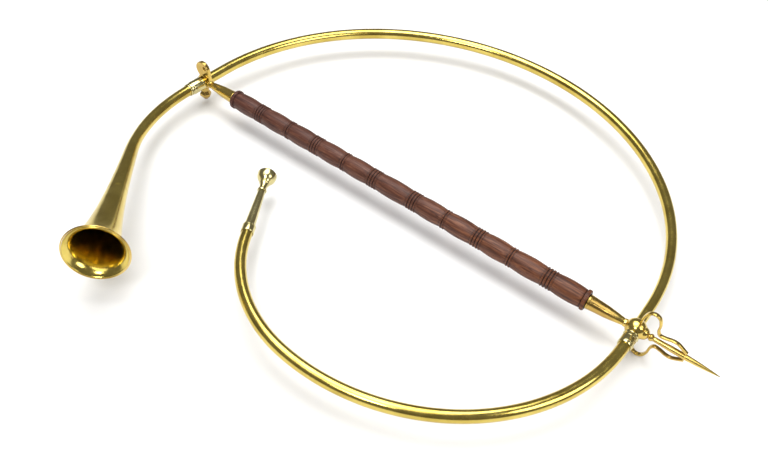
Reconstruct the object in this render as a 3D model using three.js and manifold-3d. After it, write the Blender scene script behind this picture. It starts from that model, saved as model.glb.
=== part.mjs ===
// Roman cornu: a G-shaped natural horn of conical brass tube, braced by a turned wooden crossbar.
// Millimetres. The loop lies flat, the crossbar runs along X, and Z points up.
// Shapes are laid out from the middle of the crossbar, then the whole horn is moved so that
// the origin is under the middle of its bounding box, level with its lowest point.

import * as THREE from 'three';
import { mergeVertices } from 'three/addons/utils/BufferGeometryUtils.js';
import Module from 'manifold-3d';

const wasm = await Module();
wasm.setup();

// ---------------------------------------------------------------- driving dimensions

const GAP = 0.45;                  // clearance between touching pieces
const WALL = 0.9;                  // thickness of the sheet brass
const TUBE_SIDES = 16;
const RING_SIDES = 16;
const BELL_SIDES = 24;

const CLAMP_X = 527;               // crossbar centre to either tube
const LEAD_IN = 60;                // straight tube either side of a collar, on the upper loop
const SPIGOT = 38;                 // upper tube's straight end, inside the bell's ferrule

const LOWER_STRAIGHT = 50;         // lower tube, from its collar
const LOWER_RADIUS = 390;
const LOWER_TURN = 96.7;
const CURL_RADIUS = 290;           // tighter bend towards the mouthpiece
const CURL_TURN = 54;
const LEADPIPE = 176.7;            // straight end, up to the mouthpiece rim

const BELL_TILT = 12;              // bell section's plane, raised out of the loop's plane
const BELL_STRAIGHT = 42;
const BELL_RADIUS = 371;
const BELL_TURN = 40;
const BELL_TAIL = 316;             // straight end, up to the mouth
const BELL_MOUTH_RADIUS = 55.4;
const FLARE_LENGTH = 175;          // spun flare, from its seam with the bell's tail to the mouth

const GRIP_HALF = 432;             // half the length of the turned wood
const GRIP_NECK = 18.3;
const GRIP_SWELL = 20.3;
const GRIP_BEAD = 19.7;
const GRIP_LIP = 20.8;
const ROD_RADIUS = 4;
const TENON_RADIUS = 8;
const TENON_LENGTH = 16;

const HUB_FROM = -5;               // upper collar's hub, along the tube
const HUB_TO = 9;
const HUB_RADIUS = 17;
const PLATE_THICKNESS = 9;
const LOBE = { x: -2, z: 31, radius: 18 };     // upper end of the collar's plate, from the tube
const FOOT = { x: 12, z: 3, radius: 9.5 };     // its lower end, on the neck
const EYE_HEIGHT = 36;             // hanging eye in the lobe, set towards the crossbar
const EYE_OFFSET = 5.5;
const EYE_RADIUS = 4.4;
const NECK_X = 504.5;              // where each collar's neck meets its cone, from the centre
const NECK_RADIUS = 8;

const BALL_RADIUS = 19.5;          // lower collar
const KNOP_RADIUS = 12;
const KNOP_OFFSET = 14;
const FINIAL_ROOT = 552.7;         // where the finial leaves the lower collar's knop
const FINIAL_TIP = 684;

// ---------------------------------------------------------------- materials

function finish(color, roughness, metalness) {
  return new THREE.MeshStandardMaterial({ color, roughness, metalness });
}

const BRASS = finish(0xc9a53c, 0.22, 1);
const PALE_BRASS = finish(0xd6c37a, 0.2, 1);
const GOLD_BRASS = finish(0xcf9a2e, 0.24, 1);
const ROSEWOOD = finish(0x5a2d20, 0.45, 0);
const STEEL = finish(0x8d9095, 0.4, 1);

// ---------------------------------------------------------------- closed solids

// One closed surface: shared vertices merged, slivers at the poles dropped, faces turned outwards.
function closeUp(geometry) {
  geometry.deleteAttribute('normal');
  geometry.deleteAttribute('uv');
  const merged = mergeVertices(geometry, 1e-3);
  const position = merged.attributes.position;
  const corner = [new THREE.Vector3(), new THREE.Vector3(), new THREE.Vector3()];
  const faces = [];
  let volume = 0;
  for (let i = 0; i < merged.index.count; i += 3) {
    const [a, b, c] = [merged.index.getX(i), merged.index.getX(i + 1), merged.index.getX(i + 2)];
    if (a === b || b === c || c === a) continue;
    faces.push([a, b, c]);
    [a, b, c].forEach((vertex, k) => corner[k].fromBufferAttribute(position, vertex));
    volume += corner[0].dot(corner[1].cross(corner[2]));
  }
  const outward = volume > 0 ? faces : faces.map(([a, b, c]) => [a, c, b]);
  const solid = new THREE.BufferGeometry();
  solid.setAttribute('position', position);
  solid.setIndex(outward.flat());
  return solid;
}

function toManifold(geometry) {
  const solid = closeUp(geometry);
  return new wasm.Manifold(new wasm.Mesh({
    numProp: 3,
    vertProperties: Float32Array.from(solid.attributes.position.array),
    triVerts: Uint32Array.from(solid.index.array),
  }));
}

// Joins the first list of geometries and cuts the second list out of them.
function carve(joined, cut = []) {
  let body = toManifold(joined[0]);
  for (const piece of joined.slice(1)) body = body.add(toManifold(piece));
  for (const tool of cut) body = body.subtract(toManifold(tool));
  const mesh = body.getMesh();
  const solid = new THREE.BufferGeometry();
  solid.setAttribute('position', new THREE.BufferAttribute(Float32Array.from(mesh.vertProperties), 3));
  solid.setIndex(Array.from(mesh.triVerts));
  return solid;
}

// A turned shape around Y. Points are [radius, height].
function turned(points, sides = RING_SIDES) {
  return new THREE.LatheGeometry(points.map(([radius, height]) => new THREE.Vector2(radius, height)), sides);
}

// A turned sleeve: outer and inner outlines, each from low to high, joined at both ends.
function sleeve(outer, inner, sides = RING_SIDES) {
  return turned([...outer, ...inner.toReversed(), outer[0]], sides);
}

// A half-round bead around a tube, standing on the tube's surface.
function beadRing(bore, low, high, height, sides = RING_SIDES) {
  const middle = (low + high) / 2;
  const outer = [[bore + height * 0.5, low], [bore + height, middle], [bore + height * 0.5, high]];
  return sleeve(outer, [[bore, low], [bore, high]], sides);
}

const alongX = (geometry) => geometry.rotateZ(-Math.PI / 2);   // turned height becomes +X
const alongZ = (geometry) => geometry.rotateX(Math.PI / 2);    // turned height becomes +Z

function rod(radius, low, high, sides = RING_SIDES) {
  return turned([[0, low], [radius, low], [radius, high], [0, high]], sides);
}

// ---------------------------------------------------------------- bent tubes

// A flat route of straight and circular legs. A leg is [length, turn in degrees, left positive].
class Route {
  constructor(x, y, headingDegrees, legs) {
    this.start = new THREE.Vector2(x, y);
    this.heading = THREE.MathUtils.degToRad(headingDegrees);
    this.legs = legs.map(([length, turn]) => ({ length, turn: THREE.MathUtils.degToRad(turn) }));
    this.length = this.legs.reduce((total, leg) => total + leg.length, 0);
  }

  // Position and heading at a distance along the route; the ends carry on straight.
  at(distance) {
    const point = this.start.clone();
    let heading = this.heading;
    let left = distance;
    for (const [i, { length, turn }] of this.legs.entries()) {
      const last = i === this.legs.length - 1;
      const run = last ? left : Math.min(left, length);
      const turned = turn * Math.max(run, 0) / length;
      const chord = Math.abs(turned) < 1e-9 ? run : run * Math.sin(turned / 2) / (turned / 2);
      point.x += chord * Math.cos(heading + turned / 2);
      point.y += chord * Math.sin(heading + turned / 2);
      heading += turned;
      left -= run;
      if (left <= 0) break;
    }
    return { point, heading };
  }
}

// Bends a shape turned around Y so that its axis follows the route, with Z kept upright.
function bend(geometry, route) {
  const position = geometry.attributes.position;
  for (let i = 0; i < position.count; i += 1) {
    const side = position.getX(i);
    const { point, heading } = route.at(position.getY(i));
    position.setX(i, point.x + side * Math.sin(heading));
    position.setY(i, point.y - side * Math.cos(heading));
  }
  return geometry;
}

// A hollow tube from one distance to another, its outside given by radiusAt.
function bentTube(route, from, to, steps, radiusAt, sides = TUBE_SIDES, wall = WALL) {
  const outer = [];
  const inner = [];
  for (let i = 0; i <= steps; i += 1) {
    const distance = from + (to - from) * i / steps;
    outer.push([radiusAt(distance), distance]);
    inner.push([radiusAt(distance) - wall, distance]);
  }
  return bend(sleeve(outer, inner, sides), route);
}

// Radius that peaks somewhere along a tube and falls off towards both ends.
function barrel(peak, peakAt, dropBefore, dropAfter, end) {
  return (distance) => {
    const before = distance < peakAt;
    const span = before ? peakAt : end - peakAt;
    return peak - (before ? dropBefore : dropAfter) * ((distance - peakAt) / span) ** 2;
  };
}

// ---------------------------------------------------------------- the group

const horn = new THREE.Group();

function add(name, geometry, material, parent = horn) {
  const mesh = new THREE.Mesh(closeUp(geometry), material);
  mesh.name = name;
  parent.add(mesh);
  return mesh;
}

// ---------------------------------------------------------------- upper loop

const halfTurn = Math.PI * CLAMP_X;
const upperRoute = new Route(-CLAMP_X, -SPIGOT, 90, [[SPIGOT + LEAD_IN, 0], [halfTurn, -180], [LEAD_IN, 0]]);
const upperRadius = barrel(12.6, 940, 0.9, 3.4, upperRoute.length);
const spigotRadius = upperRadius(0);

add('upper_tube', bentTube(upperRoute, 0, upperRoute.length - 1, 52, upperRadius), BRASS);

// ---------------------------------------------------------------- lower loop

const lowerArc = THREE.MathUtils.degToRad(LOWER_TURN) * LOWER_RADIUS;
const curlArc = THREE.MathUtils.degToRad(CURL_TURN) * CURL_RADIUS;
const lowerRoute = new Route(CLAMP_X, 0, -90, [
  [LOWER_STRAIGHT, 0],
  [lowerArc, -LOWER_TURN],
  [curlArc, -CURL_TURN],
  [LEADPIPE, 0],
]);
const rimAt = lowerRoute.length;
const lowerTubeEnd = rimAt - 156;
const lowerRadius = barrel(11.5, 250, 0.8, 0.6, lowerTubeEnd);

add('lower_tube', bentTube(lowerRoute, 1, lowerTubeEnd, 36, lowerRadius), BRASS);

const sleeveRadius = lowerRadius(50) + GAP;
add('lower_ferrule_ring', bend(beadRing(sleeveRadius, 20.5, 24.5, 3), lowerRoute), PALE_BRASS);
add('lower_tube_ferrule', bend(sleeve(
  [[sleeveRadius + 2, 24.5 + GAP], [sleeveRadius + 2, 47], [sleeveRadius + 1.2, LOWER_STRAIGHT]],
  [[sleeveRadius, 24.5 + GAP], [sleeveRadius, LOWER_STRAIGHT]],
), lowerRoute), PALE_BRASS);

// ---------------------------------------------------------------- leadpipe and mouthpiece

const SOCKET_DEPTH = 32;
const socketMouth = rimAt - 44;            // open end of the leadpipe, where the shank goes in
const socketFloor = socketMouth - SOCKET_DEPTH;
const sleeveStart = lowerTubeEnd - 10;
const sleeveEnd = lowerTubeEnd + 10;

add('leadpipe_sleeve', bend(sleeve(
  [[11.9, sleeveStart], [12.6, sleeveStart + 2], [12.6, sleeveEnd - 2], [11.9, sleeveEnd]],
  [[10.9 + GAP, sleeveStart], [10.9 + GAP, sleeveEnd]],
), lowerRoute), PALE_BRASS);

add('leadpipe', bend(sleeve(
  [
    [10.9, lowerTubeEnd + GAP],
    [10.4, sleeveEnd + 4],
    [9.7, sleeveEnd + 22],
    [9, sleeveEnd + 45],
    [8.2, socketFloor],
    [7.7, socketMouth - 12],
    [7.7, socketMouth],
  ],
  [[9.9, lowerTubeEnd + GAP], [5.6, socketFloor - 10], [5.35, socketFloor], [6.5, socketMouth]],
), lowerRoute), PALE_BRASS);

add('leadpipe_ring', bend(sleeve(
  [[8.6, socketMouth - 6], [9.2, socketMouth - 4.6], [9.2, socketMouth - 2], [8.6, socketMouth - 0.6]],
  [[7.7 + GAP, socketMouth - 6], [7.7 + GAP, socketMouth - 0.6]],
), lowerRoute), PALE_BRASS);

// Outline from the shank's tip, up the outside to the rim, and back down the cup and throat.
const shankTip = socketFloor + 1;
add('mouthpiece', bend(turned([
  [4.9, shankTip],
  [6, socketMouth - 1],
  [6.2, socketMouth + 0.8],
  [7.1, socketMouth + 1.4],
  [7.5, rimAt - 38],
  [8.9, rimAt - 30.5],
  [10.2, rimAt - 28],
  [10.2, rimAt - 25.8],
  [9.2, rimAt - 24],
  [11.2, rimAt - 21.5],
  [15.6, rimAt - 16.5],
  [18.2, rimAt - 11],
  [19.3, rimAt - 5],
  [19.5, rimAt - 2.2],
  [18.6, rimAt - 0.5],
  [16.2, rimAt],
  [13.8, rimAt - 1],
  [12.5, rimAt - 6],
  [9, rimAt - 16],
  [3.4, rimAt - 24],
  [2.8, rimAt - 31],
  [4, shankTip],
  [4.9, shankTip],
], 24), lowerRoute), PALE_BRASS);

// ---------------------------------------------------------------- bell section

// Its own flat frame: it leaves the upper tube's spigot along -Y, and its curve's plane is tilted.
const BELL_WALL = 1.1;
const bell = new THREE.Group();
const tilt = THREE.MathUtils.degToRad(BELL_TILT);
const ahead = new THREE.Vector3(0, -1, 0);
const inward = new THREE.Vector3(Math.cos(tilt), 0, Math.sin(tilt));
const upright = new THREE.Vector3().crossVectors(ahead, inward);
bell.position.set(-CLAMP_X, 0, 0);
bell.setRotationFromMatrix(new THREE.Matrix4().makeBasis(ahead, inward, upright));
horn.add(bell);

const bellArc = THREE.MathUtils.degToRad(BELL_TURN) * BELL_RADIUS;
const bellRoute = new Route(0, 0, 0, [[BELL_STRAIGHT, 0], [bellArc, BELL_TURN], [BELL_TAIL, 0]]);
const mouthAt = bellRoute.length;

// Flare: a hyperbola that opens towards the mouth, with a short lip that turns out at the edge.
const LIP_RISE = 9;
const LIP_LENGTH = 5;
const FLARE_OFFSET = 124;
const FLARE_GAIN = (BELL_MOUTH_RADIUS - LIP_RISE) * FLARE_OFFSET;
function bellRadius(distance) {
  const depth = mouthAt - distance;
  const flare = FLARE_GAIN / (depth + FLARE_OFFSET) + LIP_RISE * Math.exp(-depth / LIP_LENGTH);
  return Math.max(spigotRadius, flare);
}

// Thickness along the radius that leaves BELL_WALL across the sheet, whatever its slope.
function radialWall(distance) {
  const slope = (bellRadius(distance + 0.1) - bellRadius(distance - 0.1)) / 0.2;
  return BELL_WALL * Math.hypot(1, slope);
}

// Outline stations bunch up towards the mouth, where the flare turns fastest.
const FERRULE_FROM = 9;
const FERRULE_TO = 46;
const RING_TO = 50.5;
const seamAt = mouthAt - FLARE_LENGTH;
function bellPiece(from, to, steps, crowding, firstStations = []) {
  const stations = [...firstStations];
  for (let i = 0; i <= steps; i += 1) stations.push(to - (to - from) * (1 - i / steps) ** crowding);
  const outer = stations.map((distance) => [bellRadius(distance), distance]);
  const inner = stations.map((distance) => [bellRadius(distance) - radialWall(distance), distance]);
  return bend(sleeve(outer, inner, BELL_SIDES), bellRoute);
}
add('bell_tail', bellPiece(RING_TO, seamAt - GAP, 14, 1, [SPIGOT + GAP, BELL_STRAIGHT]), BRASS, bell);
add('bell_flare', bellPiece(seamAt, mouthAt, 13, 1.7), BRASS, bell);

const rimBore = BELL_MOUTH_RADIUS + GAP;
add('bell_rim_wire', bend(sleeve(
  [[rimBore + 1.2, mouthAt - 2.2], [rimBore + 2.2, mouthAt - 0.6], [rimBore + 1.2, mouthAt + 1]],
  [[rimBore, mouthAt - 2.2], [rimBore, mouthAt + 1]],
  BELL_SIDES,
), bellRoute), GOLD_BRASS, bell);

const ferruleBore = spigotRadius + GAP;
add('bell_ferrule', bend(sleeve(
  [
    [ferruleBore + 1.7, FERRULE_FROM],
    [ferruleBore + 2.3, FERRULE_FROM + 1.5],
    [ferruleBore + 2.3, FERRULE_TO - 7],
    [ferruleBore + 1.3, FERRULE_TO - 6],
    [ferruleBore + 1.3, FERRULE_TO],
  ],
  [[ferruleBore, FERRULE_FROM], [ferruleBore, BELL_STRAIGHT], [ferruleBore, FERRULE_TO]],
  BELL_SIDES,
), bellRoute), PALE_BRASS, bell);
add('bell_ferrule_ring', bend(
  beadRing(ferruleBore, FERRULE_TO + GAP, RING_TO, 1.4, BELL_SIDES),
  bellRoute,
), PALE_BRASS, bell);

// ---------------------------------------------------------------- crossbar

const WIDE_RINGS = [49, 200, 353];         // distances from the middle, on both sides
const NARROW_RINGS = [124, 273];
const GROOVE_PITCH = 6.4;

// A raised ring with square shoulders and V grooves turned into it at the given offsets.
function groovedRing(centre, half, offsets) {
  const outline = [[GRIP_BEAD, centre - half + 1]];
  for (const offset of offsets) {
    const at = centre + offset;
    outline.push([GRIP_BEAD, at - 1.2], [GRIP_BEAD - 2, at], [GRIP_BEAD, at + 1.2]);
  }
  outline.push([GRIP_BEAD, centre + half - 1]);
  return outline;
}

// Crowned lengths of wood between raised rings: wide rings with three grooves, narrow ones with one.
function gripOutline() {
  const END_COLLAR = 8;
  const rings = [];
  for (const side of [-1, 1]) {
    for (const at of WIDE_RINGS) rings.push([side * at, 11, [-GROOVE_PITCH, 0, GROOVE_PITCH]]);
    for (const at of NARROW_RINGS) rings.push([side * at, 4.5, [0]]);
  }
  rings.sort((a, b) => a[0] - b[0]);
  const outline = [[GRIP_LIP - 0.8, -GRIP_HALF], [GRIP_LIP, 4 - GRIP_HALF]];
  let low = END_COLLAR - GRIP_HALF;
  for (const [centre, half, offsets] of [...rings, [GRIP_HALF, END_COLLAR, null]]) {
    const high = centre - half;
    outline.push([GRIP_NECK, low], [GRIP_SWELL, (low + high) / 2], [GRIP_NECK, high]);
    if (offsets) outline.push(...groovedRing(centre, half, offsets));
    low = centre + half;
  }
  outline.push([GRIP_LIP, GRIP_HALF - 4], [GRIP_LIP - 0.8, GRIP_HALF]);
  return outline;
}

const counterbore = GRIP_HALF - TENON_LENGTH - 1;
add('crossbar_grip', alongX(sleeve(
  gripOutline(),
  [
    [TENON_RADIUS + GAP, -GRIP_HALF],
    [TENON_RADIUS + GAP, -counterbore],
    [ROD_RADIUS + GAP, -counterbore],
    [ROD_RADIUS + GAP, counterbore],
    [TENON_RADIUS + GAP, counterbore],
    [TENON_RADIUS + GAP, GRIP_HALF],
  ],
  18,
)), ROSEWOOD);

const ROD_HALF = GRIP_HALF + 38;
add('tie_rod', alongX(rod(ROD_RADIUS, -ROD_HALF, ROD_HALF, 10)), STEEL);

// Brass cone at an end of the wood: a tenon in the wood, and a blind bore for the tie rod.
function barCone() {
  const face = GRIP_HALF + GAP;
  const tip = NECK_X - GAP;
  return alongX(turned([
    [ROD_RADIUS + GAP, GRIP_HALF - TENON_LENGTH],
    [TENON_RADIUS, GRIP_HALF - TENON_LENGTH],
    [TENON_RADIUS, face],
    [14.5, face],
    [14.5, face + 3],
    [13.9, face + 5],
    [11.8, 470],
    [9.2, 490],
    [NECK_RADIUS - 0.8, tip],
    [0, tip],
    [0, ROD_HALF + GAP],
    [ROD_RADIUS + GAP, ROD_HALF + GAP],
    [ROD_RADIUS + GAP, GRIP_HALF - TENON_LENGTH],
  ], 18));
}
add('upper_bar_cone', barCone().rotateZ(Math.PI), GOLD_BRASS);
add('lower_bar_cone', barCone(), GOLD_BRASS);

// ---------------------------------------------------------------- upper collar and its screw

const SCREW_RADIUS = 3;
const BOSS_BOTTOM = -24;
const KNOB_BOTTOM = -49;

// Plate across the tube: a round lobe with the hanging eye, drawn in to a foot on the neck.
function collarPlate() {
  const bevel = { bevelThickness: 1.5, bevelSize: 1, bevelSegments: 1 };
  const [dx, dz] = [FOOT.x - LOBE.x, FOOT.z - LOBE.z];
  const towards = Math.atan2(dz, dx);
  const tangent = Math.acos((LOBE.radius - FOOT.radius) / Math.hypot(dx, dz));
  const [first, second] = [towards + tangent, towards - tangent + 2 * Math.PI];
  const outline = new THREE.Shape();
  outline.absarc(LOBE.x, LOBE.z, LOBE.radius - bevel.bevelSize, first, second, false);
  outline.absarc(FOOT.x, FOOT.z, FOOT.radius - bevel.bevelSize, second, first + 2 * Math.PI, false);
  outline.closePath();
  const depth = PLATE_THICKNESS - 2 * bevel.bevelThickness;
  const plate = new THREE.ExtrudeGeometry(outline, { depth, curveSegments: 12, steps: 1, ...bevel });
  return plate.translate(0, 0, -depth / 2).rotateX(Math.PI / 2);
}

const upperCollar = carve(
  [
    turned([[0, HUB_FROM], [HUB_RADIUS - 1, HUB_FROM], [HUB_RADIUS, HUB_FROM + 1],
      [HUB_RADIUS, HUB_TO - 1], [HUB_RADIUS - 1, HUB_TO], [0, HUB_TO]], 24),
    collarPlate(),
    alongX(rod(NECK_RADIUS, 8, CLAMP_X - NECK_X)),
    alongZ(turned([[0, BOSS_BOTTOM], [8.5, BOSS_BOTTOM], [8.9, -12], [0, -12]])),
  ],
  [
    rod(upperRadius(SPIGOT) + GAP, -2 * HUB_TO, 2 * HUB_TO),
    rod(EYE_RADIUS, -PLATE_THICKNESS, PLATE_THICKNESS, 24).translate(EYE_OFFSET, 0, EYE_HEIGHT),
    alongZ(rod(SCREW_RADIUS + GAP, -30, 0, 12)),
  ],
);
add('upper_collar', upperCollar.translate(-CLAMP_X, 0, 0), GOLD_BRASS);

// Six-sided thumb knob with a pointed end; its shank bears on the tube from below.
const clampScrew = carve([
  alongZ(turned([[0, KNOB_BOTTOM], [6, KNOB_BOTTOM + 4], [13, KNOB_BOTTOM + 13], [13, BOSS_BOTTOM - 7],
    [8.5, BOSS_BOTTOM - GAP], [0, BOSS_BOTTOM - GAP]], 6)),
  alongZ(rod(SCREW_RADIUS, BOSS_BOTTOM - 4, -upperRadius(SPIGOT) - GAP - 0.2, 12)),
]);
add('clamp_screw', clampScrew.translate(-CLAMP_X, 0, 0), GOLD_BRASS);

// ---------------------------------------------------------------- lower collar and finial

const TENON = 4;
const lowerCollar = carve(
  [
    new THREE.SphereGeometry(BALL_RADIUS, 20, 14),
    new THREE.SphereGeometry(KNOP_RADIUS, 16, 10).translate(KNOP_OFFSET, 0, 0),
    alongX(rod(NECK_RADIUS, NECK_X - CLAMP_X, 0)),
  ],
  [
    rod(upperRadius(upperRoute.length - 20) + GAP + 0.2, 0, 2 * BALL_RADIUS),
    rod(lowerRadius(20) + GAP, -2 * BALL_RADIUS, 0.5),
    alongX(rod(TENON + GAP, 14, 2 * BALL_RADIUS, 12)),
  ],
);
add('lower_collar', lowerCollar.translate(CLAMP_X, 0, 0), GOLD_BRASS);

add('finial_spike', alongX(turned([
  [0, FINIAL_ROOT - 11],
  [TENON, FINIAL_ROOT - 11],
  [TENON, FINIAL_ROOT],
  [6, FINIAL_ROOT],
  [7, FINIAL_ROOT + 2.5],
  [7, FINIAL_ROOT + 5],
  [6, FINIAL_ROOT + 7.3],
  [4.5, FINIAL_ROOT + 9],
  [5, FINIAL_ROOT + 23],
  [5.8, FINIAL_ROOT + 48],
  [4.8, FINIAL_ROOT + 85],
  [0.7, FINIAL_TIP - 0.6],
  [0, FINIAL_TIP],
], 14)), GOLD_BRASS);

// Flat brass band, bent like a scroll: out from the ball, round a loop, in to the spike, and out again.
const BAND_THICKNESS = 4.4;
const BAND_WIDTH = 7.5;
const BAND_ROUTE = [
  [531, 19.9], [531, 34], [536, 49], [546, 54.5], [556, 50], [561.5, 37],
  [562.5, 24], [568, 15.5], [578, 16], [590, 19.4], [600, 19.4], [611, 14],
  [620, 8.7],
];
function scrollBand(side) {
  const path = new THREE.CatmullRomCurve3(BAND_ROUTE.map(([x, z]) => new THREE.Vector3(x, 0, side * z)));
  const [thick, wide] = [BAND_THICKNESS / 2, BAND_WIDTH / 2];
  const section = new THREE.Shape();
  section.moveTo(-wide, -thick + 1.2);
  section.lineTo(-wide + 1.2, -thick);
  section.lineTo(wide - 1.2, -thick);
  section.lineTo(wide, -thick + 1.2);
  section.lineTo(wide, thick - 1.2);
  section.lineTo(wide - 1.2, thick);
  section.lineTo(-wide + 1.2, thick);
  section.lineTo(-wide, thick - 1.2);
  section.closePath();
  return new THREE.ExtrudeGeometry(section, { steps: 34, extrudePath: path });
}
add('scroll_band_upper', scrollBand(1), GOLD_BRASS);
add('scroll_band_lower', scrollBand(-1), GOLD_BRASS);

// ---------------------------------------------------------------- standing point

horn.updateMatrixWorld(true);
const box = new THREE.Box3().setFromObject(horn, true);
const middle = box.getCenter(new THREE.Vector3());
horn.position.set(-middle.x, -middle.y, -box.min.z);

export default horn;
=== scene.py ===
"""Looks for the Roman cornu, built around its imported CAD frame.

Lengths in the shapes are millimetres from the middle of the crossbar: X along the crossbar to the
spiked finial, Y to the upper loop, Z up. BAR, taken from the CAD tie rod, places them in the frame.
"""

import math

import bmesh
import bpy
from mathutils import Matrix, Vector


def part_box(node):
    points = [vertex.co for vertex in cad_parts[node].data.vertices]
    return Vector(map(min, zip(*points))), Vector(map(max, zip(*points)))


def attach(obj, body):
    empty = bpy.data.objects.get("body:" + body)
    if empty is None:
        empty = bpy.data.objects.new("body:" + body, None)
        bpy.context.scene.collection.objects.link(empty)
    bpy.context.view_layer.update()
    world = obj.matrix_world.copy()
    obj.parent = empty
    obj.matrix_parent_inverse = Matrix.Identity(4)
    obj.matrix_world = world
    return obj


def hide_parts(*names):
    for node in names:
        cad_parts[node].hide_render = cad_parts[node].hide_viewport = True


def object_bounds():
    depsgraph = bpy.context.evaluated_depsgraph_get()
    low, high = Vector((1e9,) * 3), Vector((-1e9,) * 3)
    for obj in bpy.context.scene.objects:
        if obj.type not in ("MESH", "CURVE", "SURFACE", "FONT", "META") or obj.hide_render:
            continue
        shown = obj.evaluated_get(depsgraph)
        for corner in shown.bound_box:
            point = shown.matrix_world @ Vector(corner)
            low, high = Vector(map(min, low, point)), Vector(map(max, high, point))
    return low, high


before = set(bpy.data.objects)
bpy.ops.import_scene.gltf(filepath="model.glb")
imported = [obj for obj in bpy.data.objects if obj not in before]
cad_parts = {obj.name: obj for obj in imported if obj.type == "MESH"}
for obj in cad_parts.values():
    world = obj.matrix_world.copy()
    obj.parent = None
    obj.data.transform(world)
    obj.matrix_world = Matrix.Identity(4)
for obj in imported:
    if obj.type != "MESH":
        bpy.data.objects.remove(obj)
cad_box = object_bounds()

MM = 0.001
rod_low, rod_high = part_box("tie_rod")
BAR = (rod_low + rod_high) / 2

# ---------------------------------------------------------------- dimensions, as in the CAD

GAP = 0.45
WALL = 0.9
BELL_WALL = 1.1

CLAMP_X = 527
LEAD_IN = 60
SPIGOT = 38

LOWER_STRAIGHT = 50
LOWER_RADIUS = 390
LOWER_TURN = 96.7
CURL_RADIUS = 290
CURL_TURN = 54
LEADPIPE = 176.7

BELL_TILT = 12
BELL_STRAIGHT = 42
BELL_RADIUS = 371
BELL_TURN = 40
BELL_TAIL = 316
BELL_MOUTH_RADIUS = 55.4
FLARE_LENGTH = 175
LIP_RISE = 9
LIP_LENGTH = 5
FLARE_OFFSET = 124

GRIP_HALF = 432
GRIP_NECK = 18.3
GRIP_SWELL = 20.3
GRIP_LIP = 20.8
GRIP_BEAD = 19.7
WIDE_RINGS = (49, 200, 353)
NARROW_RINGS = (124, 273)
GROOVE_PITCH = 6.4
WIDE_RING_HALF = 11.0
NARROW_RING_HALF = 4.5
ROD_RADIUS = 4
ROD_HALF = 470
TENON_RADIUS = 8
TENON_LENGTH = 16
NECK_X = 504.5
NECK_RADIUS = 8

HUB_FROM = -5
HUB_TO = 9
HUB_RADIUS = 17
PLATE_THICKNESS = 9
LOBE = (-2, 31, 18)
FOOT = (12, 3, 9.5)
EYE_HEIGHT = 36
EYE_OFFSET = 5.5
EYE_RADIUS = 4.4
BOSS_DEPTH = 24
KNOB_DEPTH = 49
SCREW_RADIUS = 3

BALL_RADIUS = 19.5
KNOP_RADIUS = 12
KNOP_OFFSET = 14
FINIAL_ROOT = 552.7
FINIAL_TIP = 684
FINIAL_TENON = 4

# Camera, from the middle of the crossbar, in metres.
CAMERA_OFFSET = Vector((0.61166, -1.02827, 1.08))
CAMERA_RIGHT = Vector((0.79759, 0.59557, 0.09570))
CAMERA_DOWN = Vector((0.48176, -0.53347, -0.69521))
CAMERA_FORWARD = Vector((-0.36299, 0.60059, -0.71241))
CAMERA_LENS = 37.892
SENSOR_WIDTH = 36


# ---------------------------------------------------------------- routes

class Route:
    """A flat route of straight and circular legs, each [length, turn in degrees, left positive]."""

    def __init__(self, start, heading, legs, origin=(0, 0, 0), basis=None):
        self.start = start
        self.heading = math.radians(heading)
        self.legs = [(length, math.radians(turn)) for length, turn in legs]
        self.length = sum(length for length, _ in legs)
        self.origin = Vector(origin)
        self.basis = basis or (Vector((1, 0, 0)), Vector((0, 1, 0)), Vector((0, 0, 1)))

    def at(self, distance):
        x, y = self.start
        heading = self.heading
        left = distance
        for i, (length, turn) in enumerate(self.legs):
            last = i == len(self.legs) - 1
            run = left if last else min(left, length)
            turned = turn * max(run, 0) / length
            chord = run if abs(turned) < 1e-9 else run * math.sin(turned / 2) / (turned / 2)
            x += chord * math.cos(heading + turned / 2)
            y += chord * math.sin(heading + turned / 2)
            heading += turned
            left -= run
            if left <= 0:
                break
        return x, y, heading

    def place(self, distance, side, up):
        """The point beside the route, in frame metres."""
        x, y, heading = self.at(distance)
        x += side * math.sin(heading)
        y -= side * math.cos(heading)
        ahead, across, upright = self.basis
        return BAR + MM * (self.origin + x * ahead + y * across + up * upright)


def line_route(origin, direction, upright):
    """A straight route, for turned pieces that sit on one axis."""
    ahead = Vector(direction).normalized()
    across = Vector(upright).normalized().cross(ahead)
    return Route((0, 0), 0, [(1000, 0)], origin, (ahead, across, Vector(upright).normalized()))


def bell_basis():
    """Axes of the bell's own plane: ahead out of the tube, inward round its bend, and upright."""
    tilt = math.radians(BELL_TILT)
    ahead = Vector((0, -1, 0))
    inward = Vector((math.cos(tilt), 0, math.sin(tilt)))
    return ahead, inward, ahead.cross(inward)


def arc_length(turn, radius):
    """Length of an arc that turns by some degrees."""
    return math.radians(turn) * radius


UPPER = Route((-CLAMP_X, -SPIGOT), 90,
              [(SPIGOT + LEAD_IN, 0), (math.pi * CLAMP_X, -180), (LEAD_IN, 0)])
LOWER = Route((CLAMP_X, 0), -90,
              [(LOWER_STRAIGHT, 0), (arc_length(LOWER_TURN, LOWER_RADIUS), -LOWER_TURN),
               (arc_length(CURL_TURN, CURL_RADIUS), -CURL_TURN), (LEADPIPE, 0)])
BELL = Route((0, 0), 0,
             [(BELL_STRAIGHT, 0), (arc_length(BELL_TURN, BELL_RADIUS), BELL_TURN), (BELL_TAIL, 0)],
             (-CLAMP_X, 0, 0), bell_basis())
CROSSBAR = line_route((0, 0, 0), (1, 0, 0), (0, 0, 1))
CROSSBAR_BACK = line_route((0, 0, 0), (-1, 0, 0), (0, 0, 1))


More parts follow.
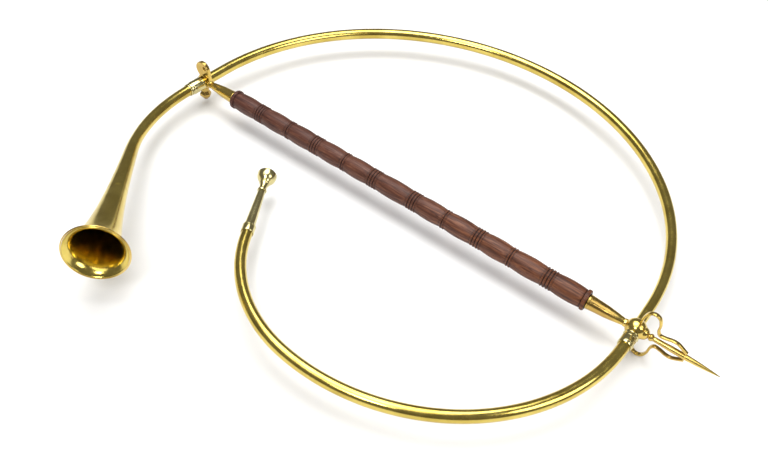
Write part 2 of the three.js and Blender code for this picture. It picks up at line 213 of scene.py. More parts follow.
def barrel(peak, peak_at, drop_before, drop_after, end):
    """Radius that peaks along a tube and falls off towards both ends."""
    def radius(distance):
        before = distance < peak_at
        reach = peak_at if before else end - peak_at
        return peak - (drop_before if before else drop_after) * ((distance - peak_at) / reach) ** 2
    return radius


RIM_AT = LOWER.length
LOWER_TUBE_END = RIM_AT - 156
MOUTH_AT = BELL.length
upper_radius = barrel(12.6, 940, 0.9, 3.4, UPPER.length)
lower_radius = barrel(11.5, 250, 0.8, 0.6, LOWER_TUBE_END)
SPIGOT_RADIUS = upper_radius(0)


def bell_radius(distance):
    """A hyperbola that opens towards the mouth, with a short lip turned out at the edge."""
    depth = MOUTH_AT - distance
    gain = (BELL_MOUTH_RADIUS - LIP_RISE) * FLARE_OFFSET
    flare = gain / (depth + FLARE_OFFSET) + LIP_RISE * math.exp(-depth / LIP_LENGTH)
    return max(SPIGOT_RADIUS, flare)


# ---------------------------------------------------------------- meshes

def mesh_object(name, vertices, faces, sharp=38):
    """A smooth-shaded object whose edges stay sharp above the given angle."""
    mesh = bpy.data.meshes.new(name)
    mesh.from_pydata(vertices, [], faces)
    bm = bmesh.new()
    bm.from_mesh(mesh)
    bmesh.ops.remove_doubles(bm, verts=bm.verts, dist=1e-6)
    bmesh.ops.recalc_face_normals(bm, faces=bm.faces)
    bm.to_mesh(mesh)
    bm.free()
    mesh.shade_smooth()
    mesh.set_sharp_from_angle(angle=math.radians(sharp))
    piece = bpy.data.objects.new(name, mesh)
    bpy.context.collection.objects.link(piece)
    return piece


def spun(name, outline, route, sides=48, closed=True, sharp=38):
    """Turns an outline of (radius, distance) round a route. A closed outline makes a hollow wall."""
    vertices = []
    for radius, distance in outline:
        for k in range(sides):
            angle = 2 * math.pi * k / sides
            vertices.append(route.place(distance, radius * math.sin(angle), radius * math.cos(angle)))
    rows = len(outline)
    faces = []
    for i in range(rows if closed else rows - 1):
        j = (i + 1) % rows
        for k in range(sides):
            n = (k + 1) % sides
            faces.append((i * sides + k, i * sides + n, j * sides + n, j * sides + k))
    return mesh_object(name, vertices, faces, sharp)


def soften(piece, width, segments=2, angle=38):
    """Rounds a piece's hard edges, so that they catch the light as worked metal does."""
    bevel = piece.modifiers.new("soft edges", "BEVEL")
    bevel.width = width * MM
    bevel.segments = segments
    bevel.limit_method = "ANGLE"
    bevel.angle_limit = math.radians(angle)
    bevel.use_clamp_overlap = True
    bevel.harden_normals = True
    return piece


def smooth_line(points, per_span=6):
    """A Catmull-Rom curve through the points, with every span split evenly."""
    padded = [points[0], *points, points[-1]]
    line = []
    for i in range(1, len(padded) - 2):
        a, b, c, d = padded[i - 1:i + 3]
        for k in range(per_span):
            t = k / per_span
            line.append(tuple(
                0.5 * (2 * q + (r - p) * t + (2 * p - 5 * q + 4 * r - s) * t ** 2
                       + (3 * q - p - 3 * r + s) * t ** 3)
                for p, q, r, s in zip(a, b, c, d)))
    line.append(tuple(points[-1]))
    return line


def spread(low, high, steps):
    """Evenly spaced numbers, both ends included."""
    return [low + (high - low) * i / steps for i in range(steps + 1)]


def half_round(radius, low, high, height, steps=8):
    """Outline of a raised bead between two distances."""
    return [(radius + height * math.sin(math.pi * i / steps), low + (high - low) * i / steps)
            for i in range(steps + 1)]


def baked(piece):
    """Applies a piece's modifiers, so that the next step works on its real mesh."""
    graph = bpy.context.evaluated_depsgraph_get()
    mesh = bpy.data.meshes.new_from_object(piece.evaluated_get(graph))
    piece.modifiers.clear()
    piece.data = mesh
    return piece


def cast_piece(name, solids, cutters, grain=0.55, rounds=5):
    """Joins solids into one casting with soft fillets, then cuts the bores out of it."""
    body = solids[0]
    body.name = name
    for mode, tools in (("UNION", solids[1:]), ("DIFFERENCE", cutters)):
        if mode == "DIFFERENCE":
            remesh = body.modifiers.new("casting", "REMESH")
            remesh.mode = "VOXEL"
            remesh.voxel_size = grain * MM
            fillet = body.modifiers.new("fillets", "SMOOTH")
            fillet.factor = 0.5
            fillet.iterations = rounds
        for tool in tools:
            cut = body.modifiers.new(mode.lower(), "BOOLEAN")
            cut.operation = mode
            cut.solver = "EXACT"
            cut.object = tool
    baked(body)
    for tool in [*solids[1:], *cutters]:
        bpy.data.objects.remove(tool, do_unlink=True)
    body.data.shade_smooth()
    body.data.set_sharp_from_angle(angle=math.radians(42))
    return body


def ball(name, centre, radius, segments):
    mesh = bpy.data.meshes.new(name)
    bm = bmesh.new()
    bmesh.ops.create_uvsphere(bm, u_segments=segments, v_segments=segments // 2, radius=radius * MM)
    bmesh.ops.translate(bm, verts=bm.verts, vec=BAR + MM * Vector(centre))
    bm.to_mesh(mesh)
    bm.free()
    piece = bpy.data.objects.new(name, mesh)
    bpy.context.collection.objects.link(piece)
    return piece


def turned_solid(name, outline, origin, direction, upright, sides=48):
    """A solid turned about an axis: its outline starts and ends on that axis."""
    return spun(name, outline, line_route(origin, direction, upright), sides, closed=False)


def rod_solid(name, origin, direction, upright, radius, low, high, sides=48):
    outline = [(0, low), (radius, low), (radius, high), (0, high)]
    return turned_solid(name, outline, origin, direction, upright, sides)


# ---------------------------------------------------------------- materials

class Nodes:
    """A material's node tree, with short ways to add the nodes used here."""

    def __init__(self, name):
        self.material = bpy.data.materials.new(name)
        self.material.use_nodes = True
        self.tree = self.material.node_tree
        self.shader = self.tree.nodes["Principled BSDF"]
        self.object_space = self.add("ShaderNodeTexCoord").outputs["Object"]

    def add(self, kind, **settings):
        node = self.tree.nodes.new(kind)
        for key, value in settings.items():
            setattr(node, key, value)
        return node

    def link(self, source, target):
        self.tree.links.new(source, target)

    def stretched(self, scale):
        mapping = self.add("ShaderNodeMapping")
        mapping.inputs["Scale"].default_value = scale
        self.link(self.object_space, mapping.inputs["Vector"])
        return mapping.outputs["Vector"]

    def noise(self, scale, detail, roughness=0.5, vector=None, distortion=0.0):
        node = self.add("ShaderNodeTexNoise")
        node.inputs["Scale"].default_value = scale
        node.inputs["Detail"].default_value = detail
        node.inputs["Roughness"].default_value = roughness
        node.inputs["Distortion"].default_value = distortion
        self.link(vector or self.object_space, node.inputs["Vector"])
        return node.outputs["Fac"]

    def ramp(self, value, stops):
        node = self.add("ShaderNodeValToRGB")
        elements = node.color_ramp.elements
        while len(elements) < len(stops):
            elements.new(0.5)
        for element, (at, color) in zip(elements, stops):
            element.position = at
            element.color = (*color, 1)
        self.link(value, node.inputs["Fac"])
        return node.outputs["Color"]

    def mix(self, amount, first, second):
        node = self.add("ShaderNodeMix", data_type="RGBA")
        self.link(amount, node.inputs["Factor"])
        self.link(first, node.inputs["A"])
        self.link(second, node.inputs["B"])
        return node.outputs["Result"]

    def rescale(self, value, low, high, out_low, out_high):
        node = self.add("ShaderNodeMapRange")
        for key, number in (("From Min", low), ("From Max", high),
                            ("To Min", out_low), ("To Max", out_high)):
            node.inputs[key].default_value = number
        self.link(value, node.inputs["Value"])
        return node.outputs["Result"]

    def bump(self, height, strength, distance, below=None):
        node = self.add("ShaderNodeBump")
        node.inputs["Strength"].default_value = strength
        node.inputs["Distance"].default_value = distance
        self.link(height, node.inputs["Height"])
        if below:
            self.link(below, node.inputs["Normal"])
        return node.outputs["Normal"]


def brass(name, bright, deep, tarnish, polish, spots=0.5):
    """Polished brass: slow shifts of tone, a little tarnish, fine polishing marks and faint ripples."""
    n = Nodes(name)
    n.shader.inputs["Metallic"].default_value = 1.0
    tone = n.ramp(n.noise(14, 5, 0.55), [(0.35, deep), (0.62, bright)])
    cloud = n.rescale(n.noise(55, 8, 0.65, distortion=0.6), 0.56, 0.78, 0.0, spots)
    dull = n.ramp(n.noise(160, 4), [(0.3, tarnish), (0.7, deep)])
    n.link(n.mix(cloud, tone, dull), n.shader.inputs["Base Color"])
    wear = n.noise(42, 6, 0.6)
    n.link(n.rescale(wear, 0.3, 0.75, polish, polish + 0.12), n.shader.inputs["Roughness"])
    ripples = n.bump(n.noise(26, 2), 0.35, 0.0008)
    scratches = n.noise(900, 3, 0.7, n.stretched((1, 1, 4)))
    n.link(n.bump(scratches, 0.12, 0.00004, ripples), n.shader.inputs["Normal"])
    return n.material


def rosewood():
    """Turned rosewood: streaks and open pores along the bar, with painted shade, near black, in the grooves.
    """
    n = Nodes("rosewood")
    flow = n.noise(9, 3, 0.5, n.stretched((0.25, 1, 1)))
    streaks = n.noise(1, 8, 0.62, n.stretched((11, 190, 190)), distortion=1.4)
    wood = n.ramp(streaks, [(0.32, (0.040, 0.012, 0.005)), (0.46, (0.095, 0.031, 0.013)),
                            (0.58, (0.175, 0.058, 0.022)), (0.72, (0.310, 0.120, 0.045))])
    purple = n.ramp(streaks, [(0.34, (0.034, 0.011, 0.008)), (0.52, (0.085, 0.030, 0.021)),
                              (0.72, (0.180, 0.082, 0.058))])
    along = n.add("ShaderNodeSeparateXYZ")
    n.link(n.object_space, along.inputs["Vector"])
    reach = 0.43
    warm_end = n.rescale(along.outputs["X"], BAR.x - reach, BAR.x + reach, 0.05, 0.95)
    shifted = n.add("ShaderNodeMath", operation="MULTIPLY")
    n.link(warm_end, shifted.inputs[0])
    n.link(n.rescale(flow, 0.3, 0.7, 0.7, 1.1), shifted.inputs[1])
    grain = n.mix(shifted.outputs[0], purple, wood)
    across = n.add("ShaderNodeVectorMath", operation="MULTIPLY")
    across.inputs[1].default_value = (0, 1, 1)
    n.link(n.object_space, across.inputs[0])
    radius = n.add("ShaderNodeVectorMath", operation="DISTANCE")
    radius.inputs[1].default_value = (0, BAR.y, BAR.z)
    n.link(across.outputs["Vector"], radius.inputs[0])
    # Painted shade: below the groove radius the wood turns near black, standing in for the shade that falls
    # into the grooves.
    in_groove, on_surface = 17.9 * MM, 18.7 * MM
    wood_or_painted_groove_shade = n.rescale(radius.outputs["Value"], in_groove, on_surface, 0.0, 1.0)
    painted_groove_shade = n.ramp(streaks, [(0.3, (0.010, 0.004, 0.003)), (0.7, (0.022, 0.008, 0.006))])
    n.link(n.mix(wood_or_painted_groove_shade, painted_groove_shade, grain), n.shader.inputs["Base Color"])
    pores = n.noise(1, 3, 0.6, n.stretched((260, 2600, 2600)))
    n.link(n.rescale(streaks, 0.3, 0.8, 0.50, 0.38), n.shader.inputs["Roughness"])
    n.shader.inputs["Specular IOR Level"].default_value = 0.3
    turned_lines = n.bump(n.noise(1, 2, 0.5, n.stretched((1500, 8, 8))), 0.10, 0.00008)
    n.link(n.bump(pores, 0.35, 0.00012, turned_lines), n.shader.inputs["Normal"])
    return n.material


def drawn_steel():
    """Plain drawn rod, with lines along it."""
    n = Nodes("drawn_steel")
    n.shader.inputs["Metallic"].default_value = 1.0
    lines = n.noise(1, 5, 0.6, n.stretched((14, 1800, 1800)))
    n.link(n.ramp(lines, [(0.3, (0.33, 0.34, 0.36)), (0.7, (0.58, 0.59, 0.61))]),
           n.shader.inputs["Base Color"])
    n.link(n.rescale(lines, 0.3, 0.7, 0.3, 0.48), n.shader.inputs["Roughness"])
    n.link(n.bump(lines, 0.2, 0.00005), n.shader.inputs["Normal"])
    return n.material


def pale_floor():
    """Matt off-white, barely mottled."""
    n = Nodes("pale_floor")
    n.link(n.ramp(n.noise(3, 3), [(0.3, (0.86, 0.86, 0.86)), (0.7, (0.9, 0.9, 0.9))]),
           n.shader.inputs["Base Color"])
    n.shader.inputs["Roughness"].default_value = 0.75
    return n.material


TUBE_BRASS = brass("tube_brass", bright=(0.70, 0.55, 0.14), deep=(0.53, 0.39, 0.08),
                   tarnish=(0.26, 0.18, 0.05), polish=0.13)
PALE_BRASS = brass("pale_brass", bright=(0.70, 0.62, 0.31), deep=(0.54, 0.47, 0.21),
                   tarnish=(0.32, 0.27, 0.12), polish=0.13, spots=0.35)
GOLD_BRASS = brass("gold_brass", bright=(0.72, 0.53, 0.14), deep=(0.50, 0.33, 0.09),
                   tarnish=(0.24, 0.14, 0.05), polish=0.14)
ROSEWOOD = rosewood()
STEEL = drawn_steel()


def settle(piece, node, body, material):
    """Gives a finished piece its material and its place in the frame."""
    piece.data.materials.clear()
    piece.data.materials.append(material)
    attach(piece, body)
    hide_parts(node)


# ---------------------------------------------------------------- tubes

def bent_tube(name, route, low, high, steps, radius_at):
    """A hollow tube along a route."""
    stations = spread(low, high, steps)
    outer = [(radius_at(s), s) for s in stations]
    inner = [(radius_at(s) - WALL, s) for s in reversed(stations)]
    return soften(spun(name, outer + inner, route), 0.25)


def make_tubes():
    upper = bent_tube("horn_upper_tube", UPPER, 0, UPPER.length - 1, 200, upper_radius)
    settle(upper, "upper_tube", "horn", TUBE_BRASS)
    lower = bent_tube("horn_lower_tube", LOWER, 1, LOWER_TUBE_END, 130, lower_radius)
    settle(lower, "lower_tube", "horn", TUBE_BRASS)


def make_lower_ferrule():
    bore = lower_radius(50) + GAP
    ring = half_round(bore + 1, 20.5, 24.5, 2.0) + [(bore, 24.5), (bore, 20.5)]
    settle(spun("horn_lower_ferrule_ring", ring, LOWER), "lower_ferrule_ring", "horn",
           PALE_BRASS)
    top = 24.5 + GAP
    sleeve = [(bore + 1.8, top), (bore + 2.1, top + 0.8), (bore + 2.1, 30), (bore + 1.75, 30.4),
              (bore + 1.75, 31.2), (bore + 2.1, 31.6), (bore + 2.1, 44), (bore + 1.7, 44.5),
              (bore + 1.7, 45.3), (bore + 2.1, 45.7), (bore + 1.9, 47.5), (bore + 1.2, LOWER_STRAIGHT),
              (bore, LOWER_STRAIGHT), (bore, top)]
    settle(soften(spun("horn_lower_ferrule", sleeve, LOWER), 0.15), "lower_tube_ferrule", "horn",
           PALE_BRASS)


# ---------------------------------------------------------------- leadpipe and mouthpiece

SOCKET_MOUTH = RIM_AT - 44
SOCKET_FLOOR = SOCKET_MOUTH - 32


def make_leadpipe():
    low, high = LOWER_TUBE_END - 10, LOWER_TUBE_END + 10
    sleeve = [(11.8, low), (12.4, low + 0.8), (12.6, low + 2), (12.6, high - 5.5), (12.0, high - 5),
              (12.0, high - 4.2), (12.6, high - 3.8), (12.6, high - 1.4), (11.9, high),
              (10.9 + GAP, high), (10.9 + GAP, low)]
    settle(soften(spun("horn_leadpipe_sleeve", sleeve, LOWER), 0.15), "leadpipe_sleeve", "horn",
           PALE_BRASS)

    pipe = [(10.9, LOWER_TUBE_END + GAP)]
    pipe += smooth_line([(10.4, high + 4), (9.7, high + 22), (9.0, high + 45), (8.2, SOCKET_FLOOR),
                         (7.7, SOCKET_MOUTH - 12)])
    pipe += [(7.7, SOCKET_MOUTH - 0.6), (7.3, SOCKET_MOUTH), (6.5, SOCKET_MOUTH),
             (5.35, SOCKET_FLOOR), (5.6, SOCKET_FLOOR - 10), (9.9, LOWER_TUBE_END + GAP)]
    settle(soften(spun("horn_leadpipe", pipe, LOWER), 0.15), "leadpipe", "horn",
           PALE_BRASS)

    ring_low, ring_high = SOCKET_MOUTH - 6, SOCKET_MOUTH - 0.6
    ring = [(8.5, ring_low)]
    ring += half_round(8.6, ring_low + 0.2, ring_high - 0.2, 0.75, 10)
    ring += [(8.5, ring_high), (7.7 + GAP, ring_high), (7.7 + GAP, ring_low)]
    settle(spun("horn_leadpipe_ring", ring, LOWER), "leadpipe_ring", "horn", PALE_BRASS)


def make_mouthpiece():
    tip = SOCKET_FLOOR + 1
    shank = [(4.9, tip), (6.0, SOCKET_MOUTH - 1), (6.2, SOCKET_MOUTH + 0.8), (7.1, SOCKET_MOUTH + 1.4)]
    shank += smooth_line([(7.5, RIM_AT - 38), (8.1, RIM_AT - 34), (9.0, RIM_AT - 30)], 5)
    bead = half_round(9.3, RIM_AT - 29.4, RIM_AT - 24.6, 1.0, 12)
    cup = smooth_line([(9.2, RIM_AT - 24.2), (11.2, RIM_AT - 21.5), (15.6, RIM_AT - 16.5),
                       (18.2, RIM_AT - 11), (19.3, RIM_AT - 5)])
    rim = smooth_line([(19.42, RIM_AT - 3.4), (19.5, RIM_AT - 2.2), (18.7, RIM_AT - 0.5),
                       (16.2, RIM_AT), (13.8, RIM_AT - 1.0), (12.6, RIM_AT - 5.4)])
    bowl = smooth_line([(12.4, RIM_AT - 6.5), (11.4, RIM_AT - 11), (9.0, RIM_AT - 16),
                        (6.0, RIM_AT - 20.4), (3.4, RIM_AT - 24), (2.8, RIM_AT - 31)])
    outline = shank + bead + cup + rim + bowl + [(4.0, tip)]
    piece = spun("mouthpiece_turned", outline, LOWER, 72)
    settle(piece, "mouthpiece", "mouthpiece", PALE_BRASS)


# ---------------------------------------------------------------- bell

FERRULE_FROM = 9
FERRULE_TO = 46
RING_TO = 50.5
SEAM_AT = MOUTH_AT - FLARE_LENGTH


def radial_wall(distance):
    """Thickness along the radius that leaves BELL_WALL across the sheet, whatever its slope."""
    slope = (bell_radius(distance + 0.1) - bell_radius(distance - 0.1)) / 0.2
    return BELL_WALL * math.hypot(1, slope)


def bell_wall(name, low, high, steps, crowding, roll=0.0):
    """A length of the bell. With a roll, its end is rounded over by that much."""
    stations = [high - (high - low) * (1 - i / steps) ** crowding for i in range(steps + 1)]
    outer = [(bell_radius(s), s) for s in stations]
    inner = [(bell_radius(s) - radial_wall(s), s) for s in reversed(stations)]
    rounded = []
    if roll:
        edge, wall = bell_radius(high), radial_wall(high)
        rounded = [(edge - wall * i / 8, high + roll * math.sin(math.pi * i / 8)) for i in range(1, 8)]
    return spun(name, outer + rounded + inner, BELL, 96)


def make_bell():
    tail = soften(bell_wall("bell_tail_tube", SPIGOT + GAP, SEAM_AT - GAP, 70, 1), 0.2)
    settle(tail, "bell_tail", "bell", TUBE_BRASS)
    flare = soften(bell_wall("bell_flare_spun", SEAM_AT, MOUTH_AT, 70, 1.7, 1.1), 0.2)
    settle(flare, "bell_flare", "bell", TUBE_BRASS)

    bore = BELL_MOUTH_RADIUS + GAP
    middle = MOUTH_AT - 0.6
    wire = [(bore, MOUTH_AT - 2.2)]
    wire += [(bore + 0.2 + 2.0 * math.sin(a), middle - 1.6 * math.cos(a)) for a in spread(0, math.pi, 14)]
    wire += [(bore, MOUTH_AT + 1)]
    settle(spun("bell_rim_bead", wire, BELL, 96), "bell_rim_wire", "bell", GOLD_BRASS)


def make_bell_ferrule():
    bore = SPIGOT_RADIUS + GAP
    low, high = FERRULE_FROM, FERRULE_TO
    cup = [(bore + 1.4, low), (bore + 2.1, low + 0.6), (bore + 2.3, low + 1.6), (bore + 2.3, low + 5),
           (bore + 1.9, low + 5.5), (bore + 1.9, low + 6.3), (bore + 2.3, low + 6.8), (bore + 2.3, high - 8),
           (bore + 2.0, high - 6.8), (bore + 1.3, high - 6), (bore + 1.3, high - 0.5), (bore + 1.0, high),
           (bore, high), (bore, low)]
    settle(soften(spun("bell_ferrule_cup", cup, BELL), 0.15), "bell_ferrule", "bell",
           PALE_BRASS)
    ring = half_round(bore + 0.5, high + GAP, RING_TO, 0.9) + [(bore, RING_TO), (bore, high + GAP)]
    settle(spun("bell_ferrule_bead", ring, BELL), "bell_ferrule_ring", "bell", PALE_BRASS)


# ---------------------------------------------------------------- crossbar

def grooved_ring(centre, half, offsets):
    """Rounded beads side by side, parted by narrow grooves turned into the wood."""
    cut = 1.1
    root, floor = GRIP_NECK + 0.4, GRIP_BEAD - 2.2
    starts = [centre - half] + [centre + offset + cut for offset in offsets]
    ends = [centre + offset - cut for offset in offsets] + [centre + half]
    line = []
    for start, end in zip(starts, ends):
        line += half_round(root, start, end, GRIP_BEAD + 0.1 - root, 8)
        line += [(floor, end + 0.7 * cut), (floor, end + 1.3 * cut)]
    return line[:-2]


def grip_outline():
    """Crowned lengths of wood between ringed bands, from one end lip to the other."""
    bands = []
    for side in (-1, 1):
        bands += [(side * at, WIDE_RING_HALF, (-GROOVE_PITCH, 0.0, GROOVE_PITCH)) for at in WIDE_RINGS]
        bands += [(side * at, NARROW_RING_HALF, (0.0,)) for at in NARROW_RINGS]
    bands.sort()
    lip = 8.0
    line = [(GRIP_LIP - 1.2, -GRIP_HALF), (GRIP_LIP - 0.3, -GRIP_HALF + 1.4), (GRIP_LIP, -GRIP_HALF + 4),
            (GRIP_LIP - 0.4, -GRIP_HALF + 6.6), (GRIP_NECK - 0.7, -GRIP_HALF + lip)]
    low = lip - GRIP_HALF
    for centre, half, offsets in [*bands, (GRIP_HALF, lip, ())]:
        high = centre - half
        rise = GRIP_SWELL - GRIP_NECK
        for s in spread(low + 0.8, high - 0.8, 14):
            share = (s - low) / (high - low)
            line.append((GRIP_NECK + rise * math.sin(math.pi * share) ** 0.9, s))
        if offsets:
            line.append((GRIP_NECK, high))
            line += grooved_ring(centre, half, offsets)
            line.append((GRIP_NECK, centre + half))
        low = centre + half
    line += [(GRIP_NECK - 0.7, GRIP_HALF - lip), (GRIP_LIP - 0.4, GRIP_HALF - 6.6),
             (GRIP_LIP, GRIP_HALF - 4), (GRIP_LIP - 0.3, GRIP_HALF - 1.4), (GRIP_LIP - 1.2, GRIP_HALF)]
    return line


def make_crossbar():
    """The turned wood, a brass cone at each end, and a finish for the CAD tie rod."""
    rod_bore, tenon_bore = ROD_RADIUS + GAP, TENON_RADIUS + GAP
    step = GRIP_HALF - TENON_LENGTH - 1
    hole = [(tenon_bore, GRIP_HALF), (tenon_bore, step), (rod_bore, step),
            (rod_bore, -step), (tenon_bore, -step), (tenon_bore, -GRIP_HALF)]
    grip = spun("horn_grip_turned", grip_outline() + hole, CROSSBAR, 64, sharp=50)
    settle(grip, "crossbar_grip", "horn", ROSEWOOD)
    for node, route in (("upper_bar_cone", CROSSBAR_BACK), ("lower_bar_cone", CROSSBAR)):
        face, tenon_end = GRIP_HALF + GAP, GRIP_HALF - TENON_LENGTH
        cone = [(rod_bore, tenon_end), (TENON_RADIUS, tenon_end), (TENON_RADIUS, face),
                (14.2, face), (14.5, face + 0.5), (14.5, face + 2.6), (14.0, face + 3.2),
                (14.0, face + 3.8), (14.3, face + 4.4), (13.9, face + 6), (11.8, 470), (9.2, 490),
                (7.2, NECK_X - 1.2), (6.8, NECK_X - GAP), (0, NECK_X - GAP),
                (0, ROD_HALF + GAP), (rod_bore, ROD_HALF + GAP)]
        piece = soften(spun("horn_" + node, cone, route, 56), 0.2)
        settle(piece, node, "horn", GOLD_BRASS)
    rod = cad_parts["tie_rod"]
    rod.data.materials.clear()
    rod.data.materials.append(STEEL)


# ---------------------------------------------------------------- upper collar and its screw

def lobe_plate():
    """The plate across the tube: a round lobe drawn in to a foot on the neck."""
    (lobe_x, lobe_z, lobe_radius), (foot_x, foot_z, foot_radius) = LOBE, FOOT
    apart = Vector((foot_x - lobe_x, foot_z - lobe_z))
    towards = math.atan2(apart.y, apart.x)
    tangent = math.acos((lobe_radius - foot_radius) / apart.length)
    first, second = towards + tangent, towards - tangent + 2 * math.pi
    outline = [(lobe_x + lobe_radius * math.cos(a), lobe_z + lobe_radius * math.sin(a))
               for a in spread(first, second, 48)]
    outline += [(foot_x + foot_radius * math.cos(a), foot_z + foot_radius * math.sin(a))
                for a in spread(second, first + 2 * math.pi, 24)]
    half = PLATE_THICKNESS / 2
    count = len(outline)
    vertices = []
    for y in (-half, half):
        vertices += [BAR + MM * Vector((x - CLAMP_X, y, z)) for x, z in outline]
    faces = [tuple(range(count)), tuple(range(2 * count - 1, count - 1, -1))]
    faces += [(k, (k + 1) % count, count + (k + 1) % count, count + k) for k in range(count)]
    return baked(soften(mesh_object("lobe", vertices, faces), 1.6, 4))


def make_upper_collar():
    """Hub, plate, neck and boss in one casting, bored for the tube, the hanging eye and the screw."""
    centre = (-CLAMP_X, 0, 0)
    up = (0, 0, 1)
    hub = turned_solid("hub", [(0, HUB_FROM), (HUB_RADIUS - 1, HUB_FROM), (HUB_RADIUS, HUB_FROM + 1),
                               (HUB_RADIUS + 0.2, (HUB_FROM + HUB_TO) / 2), (HUB_RADIUS, HUB_TO - 1),
                               (HUB_RADIUS - 1, HUB_TO), (0, HUB_TO)], centre, (0, 1, 0), up)
    neck = rod_solid("neck", centre, (1, 0, 0), up, NECK_RADIUS, 8, CLAMP_X - NECK_X)
    boss = turned_solid("boss", [(0, 12), (8.9, 12), (8.5, BOSS_DEPTH), (0, BOSS_DEPTH)],
                        centre, (0, 0, -1), (1, 0, 0))
    bore = rod_solid("bore", centre, (0, 1, 0), up, upper_radius(SPIGOT) + GAP, -20, 20, 64)
    eye = turned_solid("eye", [(0, -8), (EYE_RADIUS + 2.6, -8), (EYE_RADIUS + 0.7, -4.4), (EYE_RADIUS, -3.6),
                               (EYE_RADIUS, 3.6), (EYE_RADIUS + 0.7, 4.4), (EYE_RADIUS + 2.6, 8), (0, 8)],
                       (EYE_OFFSET - CLAMP_X, 0, EYE_HEIGHT), (0, 1, 0), up)
    screw_hole = rod_solid("screw_hole", centre, (0, 0, -1), (1, 0, 0), SCREW_RADIUS + GAP, 0, 30, 32)
    piece = cast_piece("horn_upper_collar", [hub, lobe_plate(), neck, boss], [bore, eye, screw_hole])
    settle(piece, "upper_collar", "horn", GOLD_BRASS)


def make_clamp_screw():
    """Six-sided thumb knob with a pointed end and a plain shank."""
    centre = (-CLAMP_X, 0, 0)
    outline = [(0, BOSS_DEPTH + 0.5), (8.5, BOSS_DEPTH + 0.5), (13, BOSS_DEPTH + 7),
               (13, KNOB_DEPTH - 13), (6, KNOB_DEPTH - 4), (0, KNOB_DEPTH)]
    knob = turned_solid("knob", outline, centre, (0, 0, -1), (1, 0, 0), 6)
    soften(knob, 0.5, 3, 20)
    baked(knob)
    shank = rod_solid("shank", centre, (0, 0, -1), (1, 0, 0), SCREW_RADIUS,
                      upper_radius(SPIGOT) + GAP + 0.2, 28, 40)
    piece = cast_piece("clamp_screw_knob", [knob, shank], [], 0.4, 2)
    settle(piece, "clamp_screw", "clamp_screw", GOLD_BRASS)


# ---------------------------------------------------------------- lower collar, finial and bands

def make_lower_collar():
    """A ball with a knop and a neck, bored for both tubes and the finial's tenon."""
    centre = (CLAMP_X, 0, 0)
    up = (0, 0, 1)
    solids = [ball("collar_ball", centre, BALL_RADIUS, 64),
              ball("collar_knop", (CLAMP_X + KNOP_OFFSET, 0, 0), KNOP_RADIUS, 48),
              rod_solid("collar_neck", centre, (-1, 0, 0), up, NECK_RADIUS, 0, CLAMP_X - NECK_X)]
    upper_bore = upper_radius(UPPER.length - 20) + GAP + 0.2
    cutters = [rod_solid("bore_up", centre, (0, 1, 0), up, upper_bore, 0, 40, 64),
               rod_solid("bore_down", centre, (0, -1, 0), up, lower_radius(20) + GAP, -0.5, 40, 64),
               rod_solid("bore_tenon", centre, (1, 0, 0), up, FINIAL_TENON + GAP, 14, 40, 40)]
    piece = cast_piece("horn_lower_collar", solids, cutters)
    settle(piece, "lower_collar", "horn", GOLD_BRASS)


def make_finial():
    root = FINIAL_ROOT
    blade = smooth_line([(4.5, root + 9), (5.0, root + 23), (5.8, root + 48), (4.8, root + 85),
                         (2.4, root + 115), (0.7, FINIAL_TIP - 0.8)], 8)
    outline = [(0, root - 11), (FINIAL_TENON, root - 11), (FINIAL_TENON, root), (5.2, root)]
    outline += half_round(5.2, root + 0.2, root + 7.4, 1.8, 12)
    outline += [(4.6, root + 8)] + blade + [(0, FINIAL_TIP)]
    piece = spun("horn_finial_spike", outline, CROSSBAR, 40, closed=False)
    settle(piece, "finial_spike", "horn", GOLD_BRASS)


BAND_ROUTE = [(531, 19.9), (531, 34), (536, 49), (546, 54.5), (556, 50), (561.5, 37), (562.5, 24),
              (568, 15.5), (578, 16), (590, 19.4), (600, 19.4), (611, 14), (620, 8.7)]
BAND_THICKNESS = 4.4
BAND_WIDTH = 7.5


def make_band(node, side):
    """Flat bar bent in the upright plane through the crossbar, with rounded edges."""
    line = smooth_line(BAND_ROUTE, 8)
    thick, wide = BAND_THICKNESS / 2, BAND_WIDTH / 2
    corner = 1.4
    section = []
    for cx, cy, start in ((thick - corner, wide - corner, 0), (corner - thick, wide - corner, 90),
                          (corner - thick, corner - wide, 180), (thick - corner, corner - wide, 270)):
        for degrees in (0, 30, 60, 90):
            angle = math.radians(start + degrees)
            section.append((cx + corner * math.cos(angle), cy + corner * math.sin(angle)))
    vertices, count = [], len(section)
    for i, (x, z) in enumerate(line):
        ahead = Vector(line[min(i + 1, len(line) - 1)]) - Vector(line[max(i - 1, 0)])
        ahead.normalize()
        for across, along_y in section:
            place = Vector((x + across * ahead.y, along_y, side * (z - across * ahead.x)))
            vertices.append(BAR + MM * place)
    last = (len(line) - 1) * count
    faces = [tuple(range(count)), tuple(range(last + count - 1, last - 1, -1))]
    for i in range(len(line) - 1):
        faces += [(i * count + k, i * count + (k + 1) % count,
                   (i + 1) * count + (k + 1) % count, (i + 1) * count + k) for k in range(count)]
    piece = mesh_object("horn_" + node, vertices, faces, 40)
    settle(piece, node, "horn", GOLD_BRASS)


# ---------------------------------------------------------------- stage

# Name, place from the middle of the crossbar and width in metres, and power in watts.
SOFTBOXES = (("key", (-0.5, 0.5, 2.6), 2.4, 56),
             ("side", (2.2, 0.2, 1.7), 1.5, 26),
             ("front", (0.3, -1.9, 2.2), 0.9, 24))


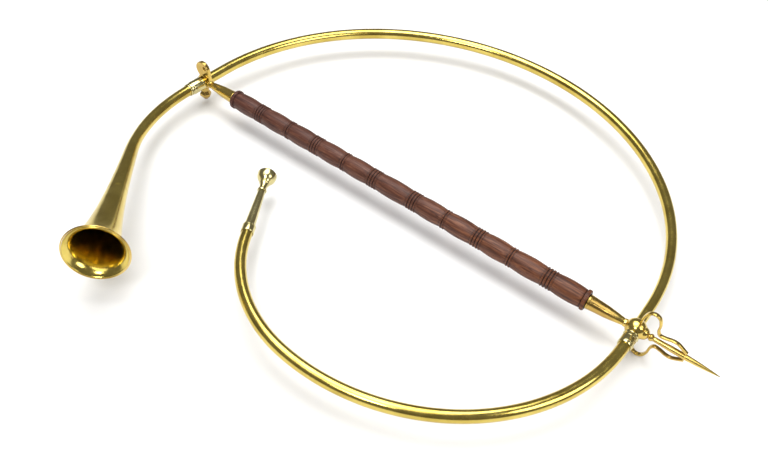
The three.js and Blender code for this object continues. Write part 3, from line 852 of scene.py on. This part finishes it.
def make_floor():
    bpy.ops.mesh.primitive_plane_add(size=40, location=(0, 0, cad_box[0].z))
    floor = bpy.context.object
    floor.name = "floor"
    floor.data.materials.append(pale_floor())


def make_light(name, offset, size, energy):
    """A round softbox that faces the middle of the crossbar."""
    lamp = bpy.data.lights.new(name, "AREA")
    lamp.shape = "DISK"
    lamp.size = size
    lamp.energy = energy
    holder = bpy.data.objects.new(name, lamp)
    holder.location = BAR + Vector(offset)
    holder.rotation_euler = (-Vector(offset)).to_track_quat("-Z", "Y").to_euler()
    bpy.context.collection.objects.link(holder)


def make_sky_light(strength, spread_degrees):
    """One wide, even light from straight above, so that the far floor stays pale."""
    lamp = bpy.data.lights.new("sky", "SUN")
    lamp.energy = strength
    lamp.angle = math.radians(spread_degrees)
    holder = bpy.data.objects.new("sky", lamp)
    holder.rotation_euler = (math.radians(8), math.radians(-12), 0)
    bpy.context.collection.objects.link(holder)


def make_camera():
    data = bpy.data.cameras.new("camera")
    data.sensor_width = SENSOR_WIDTH
    data.lens = CAMERA_LENS
    data.clip_end = 50
    camera = bpy.data.objects.new("camera", data)
    turn = Matrix((CAMERA_RIGHT, -CAMERA_DOWN, -CAMERA_FORWARD)).transposed()
    camera.matrix_world = Matrix.Translation(BAR + CAMERA_OFFSET) @ turn.to_4x4()
    bpy.context.collection.objects.link(camera)
    bpy.context.scene.camera = camera


def make_world():
    """Low, even light from all round, and colours shown as they are."""
    world = bpy.data.worlds.new("studio")
    world.use_nodes = True
    background = world.node_tree.nodes["Background"]
    background.inputs["Color"].default_value = (1.0, 0.97, 0.94, 1)
    background.inputs["Strength"].default_value = 0.20
    bpy.context.scene.world = world
    bpy.context.scene.view_settings.view_transform = "Standard"


make_camera()
make_world()
make_floor()
make_sky_light(1.1, 50)
for light in SOFTBOXES:
    make_light(*light)

make_tubes()
make_lower_ferrule()
make_leadpipe()
make_mouthpiece()
make_bell()
make_bell_ferrule()
make_crossbar()
make_upper_collar()
make_clamp_screw()
make_lower_collar()
make_finial()
make_band("scroll_band_upper", 1)
make_band("scroll_band_lower", -1)
